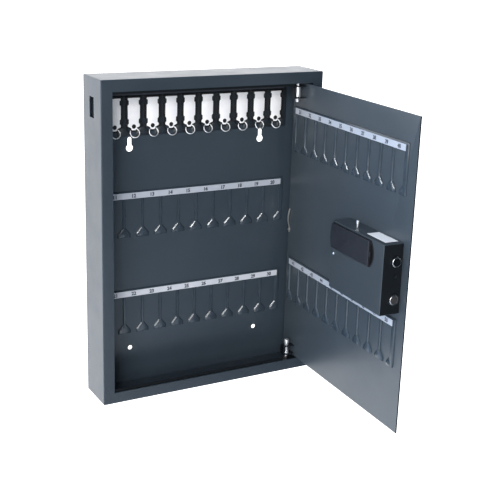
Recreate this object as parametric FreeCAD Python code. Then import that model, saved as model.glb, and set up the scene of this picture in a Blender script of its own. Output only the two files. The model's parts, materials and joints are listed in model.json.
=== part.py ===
"""Electronic key cabinet for fifty keys: a wall case, an inset door and a code lock.

Axes: +X to the right, +Y into the wall, +Z up. The origin is the middle of the wall face.
Heights are measured from the underside of the case while the shapes are built, and save()
lowers every shape by half the case height. Everything on the door is built with the door
shut and then swung open about the hinge pins to the rest angle.
"""
import FreeCAD, Part
import math
import os

V = FreeCAD.Vector

# ---- case -----------------------------------------------------------------------------
HEIGHT = 550.0
WIDTH = 408.0
DEPTH = 76.5
SHEET = 1.2
FLANGE = 19.5
HEM = 3.0
BEND_RADIUS = 1.6

SLOT_Y = (-45.6, -27.0)
SLOT_Z = (485.7, 518.9)
WALL_HOLE_X = 125.0
KEYHOLE_Z = 424.0
KEYHOLE_RADIUS = 6.2
KEYHOLE_NECK_RADIUS = 3.6
KEYHOLE_NECK_RISE = 15.0
LOWER_HOLE_Z = 64.7
LOWER_HOLE_RADIUS = 4.0

STOP_OVERLAP = 4.5
STOP_GAP = 0.4
STOP_END_X = 150.0
STOP_FOOT = 12.0

# ---- door -----------------------------------------------------------------------------
SKIN = 1.2
DOOR_THICKNESS = 2 * SKIN
DOOR_INSET = 1.0
DOOR_SIDE_GAP = 2.0
DOOR_END_GAP = 1.85
TAIL_REACH = 35.5
HINGE_X = 163.6
HINGE_Y = -60.5
REST_ANGLE = 87.2

PIN_RADIUS = 3.0
PIN_PLAY = 0.05
BUSH_RADIUS = 5.5
BUSH_HEIGHT = 10.3
ROOF_BUSH_HEIGHT = 5.0
BUSH_FOOT_RADIUS = 8.5
BUSH_FOOT_HEIGHT = 1.5
SPACER_RADIUS = 4.6
SPACER_Z = (16.5, 21.5)
LOWER_PIN_END_Z = 14.0
UPPER_PIN_END_Z = 495.7
PIN_RING_RADIUS = 4.2
PIN_RING_HEIGHT = 1.4
PIN_KNOB_RADIUS = 4.8
PIN_KNOB_TOP_Z = 54.0
PIN_COLLAR_RADIUS = 5.2
SPRING_RADIUS = 4.4
SPRING_WIRE = 0.7
SPRING_TURNS = 3
EAR_THICKNESS = 2.0
EAR_WIDTH = 14.0
EAR_REACH = 21.0
UPPER_EARS_Z = (503.0, 525.0)
LOWER_EARS_Z = (25.2, 42.6)

# ---- racks ----------------------------------------------------------------------------
PITCH = 34.0
POCKETS = 10
RACK_THICKNESS = 3.0
RACK_END = 6.0
RAIL_TOP = 7.8
RAIL_BOTTOM = -6.5
RIB_HALF = 2.6
SHOULDER_TOP = -56.0
SHOULDER_BOTTOM = -67.0
FOOT_HALF = 11.8
RACK_BOTTOM = -73.5
LABEL_HEIGHT = 10.4
LABEL_THICKNESS = 0.4
BACK_RACKS_Z = (517.7, 342.2, 166.7)
DOOR_RACKS_Z = (477.4, 199.6)
DOOR_RACK_X = 14.5

# ---- key tags -------------------------------------------------------------------------
TAG_BACK_Y = -2.0
TAG_THICKNESS = 4.0
TAG_HALF = 13.3
TAG_TOP = -6.9
TAG_NOTCH = 2.0
TAG_WING_Z = -56.0
TAG_TIP_HALF = 4.8
TAG_TIP_Z = -66.1
TAG_BORDER = 2.5
TAG_PLATE_HALF = 15.4
TAG_PLATE_THICKNESS = 1.3
TAG_HOLE_Z = -57.0
TAG_HOLE_RADIUS = 3.5
RING_RADIUS = 8.2
RING_WIRE = 0.8
RING_TURN = 14.0
RING_LEAN = 22.0

# ---- lock, placed on the shut door ------------------------------------------------------
COVER_X = (-165.5, -12.5)
COVER_Z = (218.8, 332.5)
COVER_DEPTH = 35.5
COVER_WALL = 1.5
BOLT_DEPTH = 12.3
BOLT_HEIGHTS = (304.0, 243.2)
BOLT_RADIUS = 8.2
BOLT_TIP_OUT = 3.5
BOLT_THROW = 20.0
CRANK_RADIUS = 14.14
CRANK_PIN_RADIUS = 2.4
SPINDLE_RADIUS = 4.0
KNOB_X = -112.0
KNOB_Z = (BOLT_HEIGHTS[0] + BOLT_HEIGHTS[1]) / 2
BATTERY_X = (-129.0, -19.0)
BATTERY_Z = (288.3, 329.3)
RESET_X = -60.8
RESET_DEPTH = 17.5
OVERRIDE_X = -60.0
OVERRIDE_Z = 239.0
BEZEL_X = (-150.0, -30.0)
BEZEL_Z = (226.0, 312.0)
BEZEL_DEPTH = 10.0
KEY_SIZE = (11.0, 8.5)
KEY_PITCH = (14.0, 12.5)
KEYPAD_CENTRE = (-60.0, 278.0)
PLUNGER_X = -94.0
PLUNGER_DEPTH = 6.5
PLUNGER_RADIUS = 2.5
SOLENOID_HALF = 14.0
SOLENOID_Z = (225.0, 250.0)

# ---- positions that follow from the sizes above -----------------------------------------
DOOR_OUTER_Y = -DEPTH + DOOR_INSET
DOOR_INNER_Y = DOOR_OUTER_Y + DOOR_THICKNESS
DOOR_HALF = WIDTH / 2 - FLANGE - DOOR_SIDE_GAP
DOOR_BOTTOM = FLANGE + DOOR_END_GAP
DOOR_TOP = HEIGHT - FLANGE - DOOR_END_GAP
BACK_FACE_Y = -SHEET
RACK_FRONT_Y = BACK_FACE_Y - RACK_THICKNESS
STOP_FRONT_Y = DOOR_INNER_Y + STOP_GAP


# ---- helpers --------------------------------------------------------------------------
def box(x, y, z):
    """A box between pairs of coordinates."""
    low = V(min(x), min(y), min(z))
    return Part.makeBox(abs(x[1] - x[0]), abs(y[1] - y[0]), abs(z[1] - z[0]), low)


def rod(radius, start, end):
    """A round rod from one point to another."""
    run = end - start
    return Part.makeCylinder(radius, run.Length, start, run)


def plate(points, y, thickness):
    """A flat plate: an (x, z) outline at y, grown along +Y."""
    wire = Part.makePolygon([V(x, y, z) for x, z in points + points[:1]])
    return Part.Face(wire).extrude(V(0, thickness, 0))


def fuse(shapes):
    return shapes[0].multiFuse(shapes[1:]).removeSplitter()


def depth_y(depth):
    """The y of a point at this depth behind the inner face of the shut door."""
    return DOOR_INNER_Y + depth


def depths(near, far):
    return depth_y(near), depth_y(far)


def helix_spring(x, y, bottom, top, coil_radius, wire_radius, turns):
    """A compression spring standing along Z."""
    height = top - bottom - 2 * wire_radius
    path = Part.makeHelix(height / turns, height, coil_radius)
    along = V(0, 2 * math.pi * coil_radius, height / turns)
    section = Part.Wire(Part.makeCircle(wire_radius, V(coil_radius, 0, 0), along))
    coil = Part.Wire(path).makePipeShell([section], True, True)
    coil.translate(V(x, y, bottom + wire_radius))
    return coil


def save(node, shape, on_door=False):
    """Write one sub-part, swung with the door if it belongs to it."""
    placed = shape.copy()
    if on_door:
        placed.rotate(V(HINGE_X, HINGE_Y, 0), V(0, 0, 1), REST_ANGLE)
    placed.translate(V(0, 0, -HEIGHT / 2))
    placed.exportStep("parts/%s.step" % node)


# ---- case -----------------------------------------------------------------------------
def cabinet_shell():
    half = WIDTH / 2
    inner = half - SHEET
    opening = half - FLANGE
    outside = box((-half, half), (-DEPTH, 0), (0, HEIGHT))
    bends = [edge for edge in outside.Edges if edge.BoundBox.YMin < -DEPTH + 1]
    outside = outside.makeFillet(BEND_RADIUS, bends)
    hollow = box((-inner, inner), (-DEPTH + SHEET, 0), (SHEET, HEIGHT - SHEET))
    mouth = box((-opening, opening), (-DEPTH, 0), (FLANGE, HEIGHT - FLANGE))
    side_slot = box((-half, -inner), SLOT_Y, SLOT_Z)
    sheet = outside.cut(hollow).cut(mouth).cut(side_slot)
    hem_y = (-DEPTH, -DEPTH + HEM)
    edge = opening + SHEET
    hem_block = box((-edge, opening), hem_y, (FLANGE - SHEET, HEIGHT - FLANGE + SHEET))
    return fuse([sheet, hem_block.cut(mouth)])


def back_panel():
    inner = WIDTH / 2 - SHEET
    panel = box((-inner, inner), (-SHEET, 0), (SHEET, HEIGHT - SHEET))
    for side in (-1, 1):
        x = side * WALL_HOLE_X
        neck_top = KEYHOLE_Z + KEYHOLE_NECK_RISE
        round_hole = rod(KEYHOLE_RADIUS, V(x, -SHEET, KEYHOLE_Z), V(x, 0, KEYHOLE_Z))
        neck_x = (x - KEYHOLE_NECK_RADIUS, x + KEYHOLE_NECK_RADIUS)
        neck = box(neck_x, (-SHEET, 0), (KEYHOLE_Z, neck_top))
        neck_end = rod(KEYHOLE_NECK_RADIUS, V(x, -SHEET, neck_top), V(x, 0, neck_top))
        lower = rod(LOWER_HOLE_RADIUS, V(x, -SHEET, LOWER_HOLE_Z), V(x, 0, LOWER_HOLE_Z))
        panel = panel.cut(fuse([round_hole, neck, neck_end])).cut(lower)
    return panel


def door_stop():
    """Two strips behind the flange, above and below the door, footed on the case walls."""
    inner = WIDTH / 2 - SHEET
    floor = SHEET
    roof = HEIGHT - SHEET
    lip = FLANGE + STOP_OVERLAP
    upright_y = (STOP_FRONT_Y, STOP_FRONT_Y + SHEET)
    foot_y = (STOP_FRONT_Y, STOP_FRONT_Y + STOP_FOOT)
    run = (-inner, STOP_END_X)
    lower = [box(run, upright_y, (floor, lip)), box(run, foot_y, (floor, floor + SHEET))]
    upper = [box(run, upright_y, (HEIGHT - lip, roof)), box(run, foot_y, (roof - SHEET, roof))]
    return Part.makeCompound([fuse(lower), fuse(upper)])


def on_pin(radius, bottom, top):
    """A round stretch on the hinge axis."""
    return rod(radius, V(HINGE_X, HINGE_Y, bottom), V(HINGE_X, HINGE_Y, top))


def hinge_bushes():
    """Footed bushes that carry the hinge pins; the floor's one ends in a spacer bead."""
    roof = HEIGHT - SHEET
    upper = fuse([
        on_pin(BUSH_RADIUS, roof - ROOF_BUSH_HEIGHT, roof),
        on_pin(BUSH_FOOT_RADIUS, roof - BUSH_FOOT_HEIGHT, roof),
    ])
    lower = fuse([
        on_pin(BUSH_FOOT_RADIUS, SHEET, SHEET + BUSH_FOOT_HEIGHT),
        on_pin(BUSH_RADIUS, SHEET, SHEET + BUSH_HEIGHT),
        on_pin(SPACER_RADIUS - 0.6, SHEET, SPACER_Z[1]),
        on_pin(SPACER_RADIUS, SPACER_Z[0], SPACER_Z[1]),
    ])
    bore = on_pin(PIN_RADIUS + PIN_PLAY, SHEET, roof)
    return Part.makeCompound([upper.cut(bore), lower.cut(bore)])


# ---- racks ----------------------------------------------------------------------------
def rack_outline(x, z):
    """The comb: a top rail, and ribs between the pockets that flare into feet."""
    half_rail = POCKETS * PITCH / 2
    end = half_rail + RACK_END
    points = [(-end, RAIL_TOP), (end, RAIL_TOP), (end, RACK_BOTTOM)]
    for index in range(POCKETS, 0, -1):
        right = (index - POCKETS / 2) * PITCH
        left = right - PITCH
        points += [
            (right - FOOT_HALF, RACK_BOTTOM), (right - FOOT_HALF, SHOULDER_BOTTOM),
            (right - RIB_HALF, SHOULDER_TOP), (right - RIB_HALF, RAIL_BOTTOM),
            (left + RIB_HALF, RAIL_BOTTOM), (left + RIB_HALF, SHOULDER_TOP),
            (left + FOOT_HALF, SHOULDER_BOTTOM), (left + FOOT_HALF, RACK_BOTTOM),
        ]
    points.append((-end, RACK_BOTTOM))
    return [(x + px, z + pz) for px, pz in points]


def back_rack(z):
    return plate(rack_outline(0, z), RACK_FRONT_Y, RACK_THICKNESS)


def door_rack(z):
    return plate(rack_outline(DOOR_RACK_X, z), DOOR_INNER_Y, RACK_THICKNESS)


def label_strip(x, y, z):
    half = POCKETS * PITCH / 2
    tall = LABEL_HEIGHT / 2
    return box((x - half, x + half), (y, y + LABEL_THICKNESS), (z - tall, z + tall))


def rack_labels_back():
    y = RACK_FRONT_Y - LABEL_THICKNESS
    return Part.makeCompound([label_strip(0, y, z) for z in BACK_RACKS_Z])


def rack_labels_door():
    y = DOOR_INNER_Y + RACK_THICKNESS
    return Part.makeCompound([label_strip(DOOR_RACK_X, y, z) for z in DOOR_RACKS_Z])


# ---- key tags -------------------------------------------------------------------------
def tag_outline(border):
    """The tag's outline, pulled in by a border; its notches are at two heights."""
    half = TAG_HALF - border
    waist = half - TAG_NOTCH
    right = [
        (half, TAG_TOP - border), (half, -12.0), (waist, -13.5), (waist, -20.0),
        (half, -21.5), (half, -44.0), (waist, -45.5), (waist, -51.5),
        (half, -53.5), (half, TAG_WING_Z - border / 2), (TAG_TIP_HALF, TAG_TIP_Z + border),
    ]
    return right + [(-x, z) for x, z in reversed(right)]


def tag_outline_at(x, z, border):
    return [(x + px, z + pz) for px, pz in tag_outline(border)]


def tag_prism(x, z, border, y, thickness, widening=1.0):
    outline = [(x + px * widening, z + pz) for px, pz in tag_outline(border)]
    return plate(outline, y, thickness)


def key_tag(x, z):
    """A holder with a wider face plate, a paper insert, and a split ring through its tab."""
    front = TAG_BACK_Y - TAG_THICKNESS
    insert_depth = 0.6
    tab_top = TAG_HOLE_Z + TAG_HOLE_RADIUS + 1.5
    body = tag_prism(x, z, 0, front, TAG_THICKNESS)
    face = tag_prism(x, z, 0, front, TAG_PLATE_THICKNESS, TAG_PLATE_HALF / TAG_HALF)
    recess = tag_prism(x, z, TAG_BORDER, front, insert_depth)
    behind_tab = box((x - TAG_PLATE_HALF, x + TAG_PLATE_HALF),
                     (front + TAG_PLATE_THICKNESS, TAG_BACK_Y), (z + TAG_TIP_Z, z + tab_top))
    hole_z = z + TAG_HOLE_Z
    hole = rod(TAG_HOLE_RADIUS, V(x, front, hole_z), V(x, TAG_BACK_Y, hole_z))
    holder = fuse([body, face]).cut(recess).cut(behind_tab).cut(hole)
    insert = recess.cut(hole)
    ring_top = hole_z - TAG_HOLE_RADIUS + RING_WIRE + 0.1
    ring = Part.makeTorus(RING_RADIUS, RING_WIRE, V(0, 0, -RING_RADIUS), V(0, 1, 0))
    ring.rotate(V(0, 0, 0), V(0, 0, 1), RING_TURN)
    ring.rotate(V(0, 0, 0), V(1, 0, 0), -RING_LEAN)
    ring.translate(V(x, front + TAG_PLATE_THICKNESS / 2, ring_top))
    return Part.makeCompound([holder, insert, ring])


# ---- door -----------------------------------------------------------------------------
def lock_holes():
    """What passes through both door sheets: spindle, key plug and keypad wires."""
    y = (DOOR_OUTER_Y - 1, DOOR_INNER_Y + 1)
    spindle = rod(SPINDLE_RADIUS + 0.3, V(KNOB_X, y[0], KNOB_Z), V(KNOB_X, y[1], KNOB_Z))
    plug = rod(7.0, V(OVERRIDE_X, y[0], OVERRIDE_Z), V(OVERRIDE_X, y[1], OVERRIDE_Z))
    wires = rod(5.0, V(-90, y[0], 258), V(-90, y[1], 258))
    return Part.makeCompound([spindle, plug, wires])


def door_skin():
    skin = box((-DOOR_HALF, DOOR_HALF), (DOOR_OUTER_Y, DOOR_OUTER_Y + SKIN),
               (DOOR_BOTTOM, DOOR_TOP))
    return skin.cut(lock_holes())


def door_backing():
    """The inner sheet, whose tail runs on behind the flange on the hinge side."""
    sheet = box((-DOOR_HALF, HINGE_X + TAIL_REACH), (DOOR_OUTER_Y + SKIN, DOOR_INNER_Y),
                (DOOR_BOTTOM, DOOR_TOP))
    return sheet.cut(lock_holes())


def hinge_bracket(ears_z):
    """Two ears on the door joined by a web on the far side of the pin."""
    x = (HINGE_X - EAR_WIDTH / 2, HINGE_X + EAR_WIDTH / 2)
    reach = depths(0, EAR_REACH)
    web_y = depths(EAR_REACH - EAR_THICKNESS, EAR_REACH)
    lower, upper = ears_z
    bracket = fuse([
        box(x, reach, (lower, lower + EAR_THICKNESS)),
        box(x, reach, (upper - EAR_THICKNESS, upper)),
        box(x, web_y, (lower, upper)),
    ])
    return bracket.cut(on_pin(PIN_RADIUS + PIN_PLAY, lower, upper))


def hinge_pin_upper():
    """A round-ended pin pushed up through the bracket into the roof bush, with a snap ring."""
    shaft = on_pin(PIN_RADIUS, UPPER_PIN_END_Z, HEIGHT - SHEET - 1)
    end = [edge for edge in shaft.Edges if edge.BoundBox.ZMax < UPPER_PIN_END_Z + 0.1]
    shaft = shaft.makeFillet(PIN_RADIUS * 0.6, end)
    ring_top = UPPER_EARS_Z[0]
    return fuse([shaft, on_pin(PIN_RING_RADIUS, ring_top - PIN_RING_HEIGHT, ring_top)])


def hinge_pin_lower():
    """The pin that is pulled up by its knob to lift the door off."""
    bottom, top = LOWER_EARS_Z
    collar_bottom = bottom + EAR_THICKNESS
    knob = on_pin(PIN_KNOB_RADIUS, top + 3, PIN_KNOB_TOP_Z)
    knob = knob.makeFillet(1.2, [edge for edge in knob.Edges if edge.BoundBox.ZLength < 0.1])
    return fuse([
        on_pin(PIN_RADIUS, LOWER_PIN_END_Z, top + 9),
        on_pin(PIN_COLLAR_RADIUS, collar_bottom, collar_bottom + 2),
        on_pin(PIN_RADIUS + 0.8, top, top + 3.5),
        knob,
    ])


def hinge_pin_spring():
    bottom = LOWER_EARS_Z[0] + EAR_THICKNESS + 2
    top = LOWER_EARS_Z[1] - EAR_THICKNESS
    return helix_spring(HINGE_X, HINGE_Y, bottom, top, SPRING_RADIUS, SPRING_WIRE, SPRING_TURNS)


def leaf_spring():
    """A bowed leaf and its rivet near the edge of the door's tail."""
    x = (HINGE_X + TAIL_REACH - 6.0, HINGE_X + TAIL_REACH - 2.0)
    foot, tip = 252.0, 296.0
    bow, thickness = 3.0, 0.4
    y = DOOR_INNER_Y

    def arc(offset, start, end):
        middle = V(x[0], y + bow + offset, (start + end) / 2)
        return Part.Arc(V(x[0], y + offset, start), middle, V(x[0], y + offset, end)).toShape()

    bend = foot + 10.0
    inner_arc = arc(0, bend, tip)
    outer_arc = arc(thickness, bend, tip)
    section = Part.Wire([
        Part.makeLine(V(x[0], y, foot), V(x[0], y, bend)), inner_arc,
        Part.makeLine(V(x[0], y, tip), V(x[0], y + thickness, tip)), outer_arc,
        Part.makeLine(V(x[0], y + thickness, bend), V(x[0], y + thickness, foot)),
        Part.makeLine(V(x[0], y + thickness, foot), V(x[0], y, foot)),
    ])
    leaf = Part.Face(section).extrude(V(x[1] - x[0], 0, 0))
    middle = (x[0] + x[1]) / 2
    rivet_z = foot + 5.0
    rivet = rod(2.2, V(middle, y + thickness, rivet_z), V(middle, y + thickness + 1.4, rivet_z))
    return Part.makeCompound([leaf, rivet])


# ---- lock -----------------------------------------------------------------------------
def battery_outline(border):
    """The battery lid's surround: straight sides and bowed ends."""
    low, high = BATTERY_Z[0] - border, BATTERY_Z[1] + border
    middle = (low + high) / 2
    left, right = BATTERY_X[0] - border, BATTERY_X[1] + border
    bow_left, bow_right = 9.0, 4.5
    corners = [V(left, 0, low), V(right, 0, low), V(right, 0, high), V(left, 0, high)]
    edges = [
        Part.makeLine(corners[0], corners[1]),
        Part.Arc(corners[1], V(right + bow_right, 0, middle), corners[2]).toShape(),
        Part.makeLine(corners[2], corners[3]),
        Part.Arc(corners[3], V(left - bow_left, 0, middle), corners[0]).toShape(),
    ]
    return Part.Face(Part.Wire(edges))


def battery_prism(border, near, far):
    face = battery_outline(border)
    face.translate(V(0, depth_y(near), 0))
    return face.extrude(V(0, far - near, 0))


def lock_cover():
    outside = box(COVER_X, depths(0, COVER_DEPTH), COVER_Z)
    rounded = [edge for edge in outside.Edges
               if edge.BoundBox.YMax > depth_y(COVER_DEPTH) - 0.1]
    outside = outside.makeFillet(1.2, rounded)
    inside_x = (COVER_X[0] + COVER_WALL, COVER_X[1] - COVER_WALL)
    inside_z = (COVER_Z[0] + COVER_WALL, COVER_Z[1] - COVER_WALL)
    shell = outside.cut(box(inside_x, depths(0, COVER_DEPTH - COVER_WALL), inside_z))
    shell = shell.cut(battery_prism(1.1, 30, COVER_DEPTH + 1))
    for z in BOLT_HEIGHTS:
        y = depth_y(BOLT_DEPTH)
        shell = shell.cut(rod(BOLT_RADIUS + 0.5, V(COVER_X[0] - 1, y, z), V(inside_x[0], y, z)))
    y = depth_y(RESET_DEPTH)
    stem_hole = rod(1.9, V(RESET_X, y, inside_z[1]), V(RESET_X, y, COVER_Z[1]))
    return shell.cut(stem_hole)


def lock_screws():
    """Pan heads: one on the face of the housing and one on its bolt side."""
    head, height = 2.4, 1.3
    face_y = depth_y(COVER_DEPTH)
    on_face = rod(head, V(-22.5, face_y, 278.5), V(-22.5, face_y + height, 278.5))
    side = V(COVER_X[0], depth_y(11.6), 280.3)
    on_side = rod(head, side, side - V(height, 0, 0))
    return Part.makeCompound([on_face, on_side])


def cover_label():
    return box((-154.0, -101.0), depths(2.7, 25.5), (COVER_Z[1], COVER_Z[1] + 0.2))


def lock_chassis():
    """A plate on the door with a flange that guides both bolts."""
    x = (COVER_X[0] + COVER_WALL + 0.5, COVER_X[1] - COVER_WALL - 1)
    z = (COVER_Z[0] + COVER_WALL + 1, COVER_Z[1] - COVER_WALL - 1)
    sheet = 1.5
    base = box(x, depths(0, sheet), z)
    guide = box((x[0], x[0] + sheet), depths(0, 25), z)
    chassis = fuse([base, guide])
    for height in BOLT_HEIGHTS:
        y = depth_y(BOLT_DEPTH)
        hole = rod(BOLT_RADIUS + 0.1, V(x[0] - 1, y, height), V(x[0] + 2, y, height))
        chassis = chassis.cut(hole)
    spindle = rod(SPINDLE_RADIUS + 0.1, V(KNOB_X, depth_y(-1), KNOB_Z), V(KNOB_X, depth_y(2), KNOB_Z))
    plug = rod(6.1, V(OVERRIDE_X, depth_y(-1), OVERRIDE_Z), V(OVERRIDE_X, depth_y(2), OVERRIDE_Z))
    return chassis.cut(spindle).cut(plug)


def bolt_carriage():
    """The plate behind the bolts and its tongue with the crank slot and the plunger notches."""
    plate_x = (-136.0, -133.5)
    upright = box(plate_x, depths(4, 21), (BOLT_HEIGHTS[1] - 11, BOLT_HEIGHTS[0] + 11))
    tongue_bottom, tongue_top = KNOB_Z - 11.6, KNOB_Z + 22.4
    tongue = box((plate_x[0], -66.0), depths(4, 6), (tongue_bottom, tongue_top))
    slot_half = SPINDLE_RADIUS + 0.3
    spindle_slot = box((KNOB_X - slot_half, KNOB_X + BOLT_THROW + slot_half), depths(3, 7),
                       (KNOB_Z - slot_half, KNOB_Z + slot_half))
    crank_x = KNOB_X + CRANK_RADIUS * math.sin(math.radians(45))
    crank_low = KNOB_Z + CRANK_RADIUS * math.cos(math.radians(45)) - CRANK_PIN_RADIUS - 0.5
    crank_high = KNOB_Z + CRANK_RADIUS + CRANK_PIN_RADIUS + 0.5
    slack = CRANK_PIN_RADIUS + 0.55
    crank_slot = box((crank_x - slack, crank_x + slack), depths(3, 7), (crank_low, crank_high))
    carriage = fuse([upright, tongue]).cut(spindle_slot).cut(crank_slot)
    for x in (PLUNGER_X, PLUNGER_X + BOLT_THROW):
        carriage = carriage.cut(box((x - 3, x + 3), depths(3, 7), (tongue_bottom - 1, tongue_bottom + 5)))
    return carriage


def lock_bolts():
    """Two round bolts riveted to the carriage."""
    tip = COVER_X[0] - BOLT_TIP_OUT
    bolts = []
    for z in BOLT_HEIGHTS:
        y = depth_y(BOLT_DEPTH)
        bolt = rod(BOLT_RADIUS, V(-136.0, y, z), V(tip, y, z))
        rim = [edge for edge in bolt.Edges if edge.BoundBox.XMax < tip + 0.1]
        bolts.append(bolt.makeFillet(1.2, rim))
    return Part.makeCompound(bolts)


def solenoid_body():
    """Frame and coil of the solenoid, with the bore for its plunger."""
    x = (PLUNGER_X - SOLENOID_HALF, PLUNGER_X + SOLENOID_HALF)
    frame = box(x, depths(1.5, 15.5), SOLENOID_Z)
    y = depth_y(PLUNGER_DEPTH)
    bore = rod(PLUNGER_RADIUS + 0.1, V(PLUNGER_X, y, 231), V(PLUNGER_X, y, SOLENOID_Z[1]))
    frame = frame.cut(bore)
    for side in (-1, 1):
        window_x = (PLUNGER_X + side * SOLENOID_HALF, PLUNGER_X + side * (SOLENOID_HALF - 2))
        window_z = (SOLENOID_Z[0] + 3, SOLENOID_Z[1] - 3)
        frame = frame.cut(box(window_x, depths(3.5, 13.5), window_z))
    return frame


def plunger_section(radius, bottom, top):
    y = depth_y(PLUNGER_DEPTH)
    return rod(radius, V(PLUNGER_X, y, bottom), V(PLUNGER_X, y, top))


def solenoid_plunger():
    """The plunger with its spring collar; its tip waits just under the carriage's notch."""
    shaft = plunger_section(PLUNGER_RADIUS, 236, KNOB_Z - 12.1)
    return fuse([shaft, plunger_section(4.2, 254.5, 256)])


def plunger_spring():
    return helix_spring(PLUNGER_X, depth_y(PLUNGER_DEPTH), SOLENOID_Z[1], 254.5, 3.4, 0.5, 3)


def knob_spindle():
    """The spindle behind the knob, with a crank arm whose pin works in the carriage."""
    front = V(KNOB_X, DOOR_OUTER_Y - BEZEL_DEPTH - 14, KNOB_Z)
    back = V(KNOB_X, depth_y(9.5), KNOB_Z)
    angle = math.radians(45)
    pin = V(KNOB_X + CRANK_RADIUS * math.sin(angle), 0, KNOB_Z + CRANK_RADIUS * math.cos(angle))
    arm = box((-4.5, CRANK_RADIUS + 3.5), depths(7.2, 9.2), (-4.0, 4.0))
    arm.rotate(V(0, 0, 0), V(0, 1, 0), -45)
    arm.translate(V(KNOB_X, 0, KNOB_Z))
    crank_pin = rod(CRANK_PIN_RADIUS, V(pin.x, depth_y(3.2), pin.z), V(pin.x, depth_y(8), pin.z))
    return fuse([rod(SPINDLE_RADIUS, front, back), arm, crank_pin])


def knob():
    """A round knob with a raised grip bar, bored for the spindle."""
    face = DOOR_OUTER_Y - BEZEL_DEPTH
    skirt = rod(18.0, V(KNOB_X, face - 0.4, KNOB_Z), V(KNOB_X, face - 8, KNOB_Z))
    grip = box((KNOB_X - 5, KNOB_X + 5), (face - 22, face - 8), (KNOB_Z - 16, KNOB_Z + 16))
    grip = grip.makeFillet(3.0, [e for e in grip.Edges if abs(e.BoundBox.YLength - 14) < 0.1])
    bore = rod(SPINDLE_RADIUS, V(KNOB_X, face, KNOB_Z), V(KNOB_X, face - 14, KNOB_Z))
    return fuse([skirt, grip]).cut(bore)


def battery_box():
    """A tray for four cells, with a finger notch beside the lid."""
    tray = box((BATTERY_X[0] - 0.5, BATTERY_X[1] + 0.5), depths(20.2, 36.4),
               (BATTERY_Z[0] + 0.7, BATTERY_Z[1] - 0.3))
    rim = battery_prism(0.9, 30.2, 36.4)
    hollow = box((BATTERY_X[0] + 1, BATTERY_X[1] - 1), depths(21.4, 36.4),
                 (BATTERY_Z[0] + 2.2, BATTERY_Z[1] - 1.8))
    notch_side = box((BATTERY_X[0] - 12, BATTERY_X[0] - 0.7), depths(31.4, 37), BATTERY_Z)
    notch = battery_prism(-0.4, 31.4, 36.4).common(notch_side)
    return fuse([tray, rim]).cut(hollow).cut(notch)


def battery_lid():
    """The lid over the cells, cut straight beside the finger notch."""
    slab = battery_prism(0, 36.5, 39.5)
    keep = box((BATTERY_X[0], BATTERY_X[1] + 10), depths(36, 40), BATTERY_Z)
    middle = (BATTERY_Z[0] + BATTERY_Z[1]) / 2
    latch = box((BATTERY_X[0] - 3.0, BATTERY_X[0] + 2.0), depths(36.5, 38.3), (middle - 4, middle + 4))
    lid = fuse([slab.common(keep), latch])
    rim = [edge for edge in lid.Edges if edge.BoundBox.YMin > depth_y(39.5) - 0.05]
    return lid.makeChamfer(0.5, rim)


def batteries():
    """Four AA cells, two in line in each of two rows."""
    cells = []
    middle = (BATTERY_Z[0] + BATTERY_Z[1]) / 2
    for row in (-1, 1):
        z = middle + row * 9.2
        y = depth_y(28.7)
        for start in (-125.0, -74.3):
            can = rod(7.1, V(start, y, z), V(start + 49.0, y, z))
            nub = rod(2.7, V(start + 49.0, y, z), V(start + 50.4, y, z))
            cells.append(fuse([can, nub]))
    return Part.makeCompound(cells)


def battery_contacts():
    """Thin end plates of the battery box, each with a domed contact."""
    contacts = []
    middle = (BATTERY_Z[0] + BATTERY_Z[1]) / 2
    for row in (-1, 1):
        z = middle + row * 9.2
        rows = (z - 6, z + 6)
        contacts.append(box((BATTERY_X[0] + 1, BATTERY_X[0] + 1.5), depths(22, 35), rows))
        contacts.append(box((BATTERY_X[1] - 1.5, BATTERY_X[1] - 1), depths(22, 35), rows))
    return Part.makeCompound(contacts)


def reset_button():
    y = depth_y(RESET_DEPTH)
    stem = rod(1.6, V(RESET_X, y, COVER_Z[1] - 12), V(RESET_X, y, COVER_Z[1] + 6))
    head = rod(2.7, V(RESET_X, y, COVER_Z[1] + 5), V(RESET_X, y, COVER_Z[1] + 10))
    top = [edge for edge in head.Edges if edge.BoundBox.ZMin > COVER_Z[1] + 9.9]
    return fuse([stem, head.makeFillet(1.0, top)])


def key_centres():
    for row in range(4):
        for column in range(3):
            yield (KEYPAD_CENTRE[0] + (column - 1) * KEY_PITCH[0],
                   KEYPAD_CENTRE[1] + (1.5 - row) * KEY_PITCH[1])


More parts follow.
